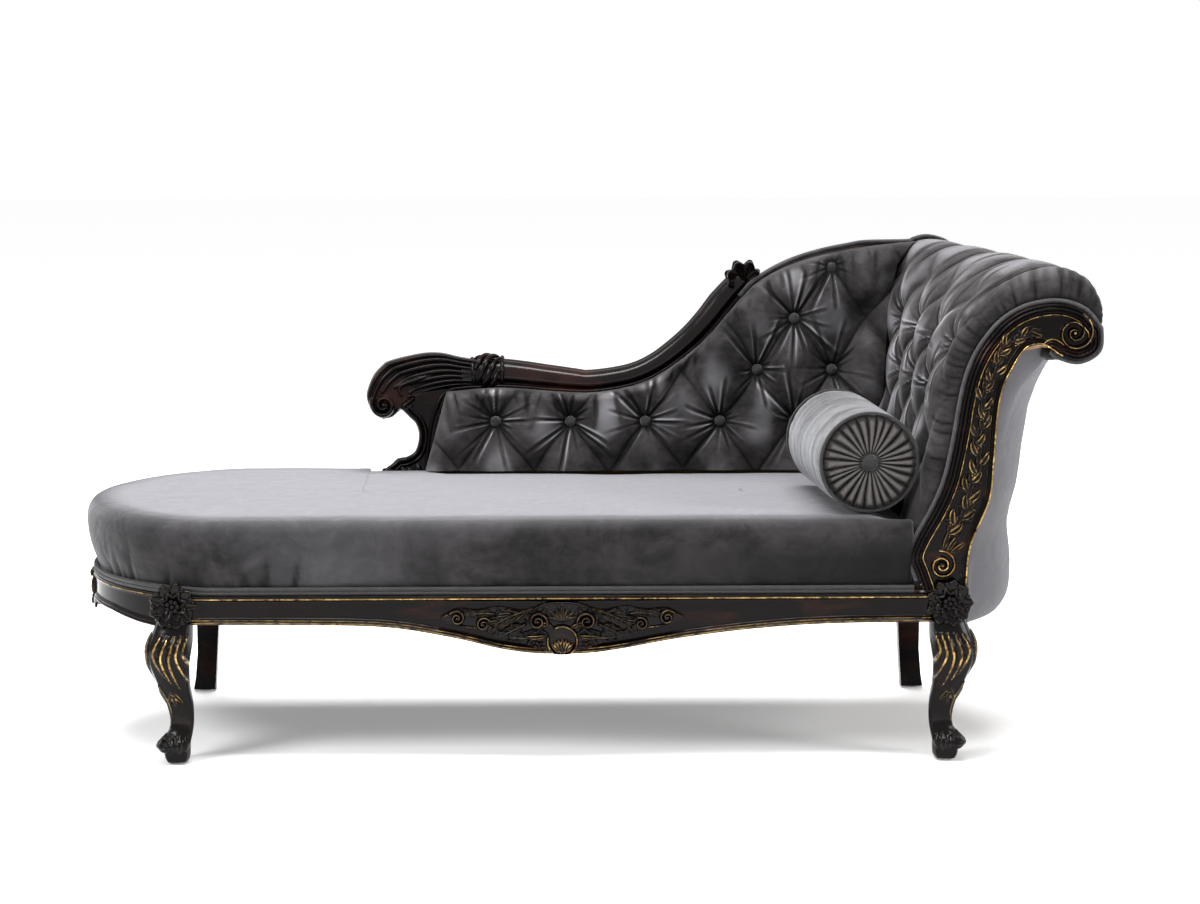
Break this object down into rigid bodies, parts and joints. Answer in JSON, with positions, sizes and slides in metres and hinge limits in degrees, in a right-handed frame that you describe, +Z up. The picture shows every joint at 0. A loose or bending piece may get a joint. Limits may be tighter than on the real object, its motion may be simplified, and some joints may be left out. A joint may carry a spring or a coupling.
{
  "type": "fainting couch",
  "caption": "Victorian-style chaise longue with a scrolled head, a raked buttoned back, carved ebonised show wood on cabriole legs and a loose round bolster.",
  "frame": {"origin": "centre of the footprint on the floor", "axes": "+X from the rounded foot end to the rolled head, +Y from the open front to the back, +Z up"},
  "size_m": [1.8079, 0.6979, 0.8766],
  "materials": {
    "ebonised_wood": "ebonised and lacquered, rubbed at the edges",
    "carved_wood": "ebonised carving with rubbed gilding",
    "gilt_bead": "gilded, worn",
    "beech": "bare sawn timber",
    "steel": "zinc plated",
    "spring_steel": "oiled",
    "webbing": "woven jute",
    "hessian": "plain woven jute",
    "dust_cloth": "plain black cloth",
    "velvet": "cut velvet pile",
    "velvet_button": "velvet-covered button",
    "piping": "piping cord in matching cloth",
    "bolster_velvet": "cut velvet pile, pale sheen",
    "bolster_pleats": "gathered velvet",
    "bolster_piping": "dark piping cord"
  },
  "bodies": {
    "couch": {"front_rail": "ebonised_wood", "rear_rail": "ebonised_wood", "foot_end_rail": "ebonised_wood", "head_end_rail": "ebonised_wood", "front_leg_foot_end": "ebonised_wood", "front_leg_head_end": "ebonised_wood", "rear_leg_foot_end": "ebonised_wood", "rear_leg_head_end": "ebonised_wood", "nail_glides": "steel", "corner_blocks": "beech", "corner_block_screws": "steel", "seat_cross_bars": "beech", "webbing_battens": "beech", "seat_webbing": "webbing", "seat_springs": "spring_steel", "spring_hessian": "hessian", "dust_cover": "dust_cloth", "seat_cushion": "velvet", "seat_double_welt": "piping", "front_rail_beads": "gilt_bead", "apron_cartouche": "carved_wood", "foot_end_ornament": "carved_wood", "knee_rosette_foot_end": "carved_wood", "knee_rosette_head_end": "carved_wood", "back_bottom_rail": "beech", "back_foot_stile": "beech", "back_middle_stile": "beech", "back_top_rail": "beech", "back_webbing": "webbing", "back_hessian": "hessian", "back_pad": "velvet", "back_buttons": "velvet_button", "back_outside": "velvet", "crest_rail": "ebonised_wood", "crest_leaf_collar": "carved_wood", "crest_finial": "carved_wood", "foot_scroll": "ebonised_wood", "scroll_bracket": "ebonised_wood", "head_front_board": "beech", "head_rear_board": "beech", "head_cross_bars": "beech", "head_bow_ribs": "beech", "head_hessian": "hessian", "head_pad": "velvet", "head_buttons": "velvet_button", "head_outside": "velvet", "head_facing": "ebonised_wood", "facing_piping": "piping", "facing_beads": "gilt_bead"},
    "bolster": {"bolster_cushion": "bolster_velvet", "bolster_front_end": "bolster_pleats", "bolster_rear_end": "bolster_pleats", "bolster_pipings": "bolster_piping", "bolster_buttons": "velvet_button"}
  },
  "joints": [
    {"name": "bolster_lift", "type": "slide", "parent": "couch", "child": "bolster", "axis": [0, 0, 1], "range_m": [0, 0.6]}
  ]
}
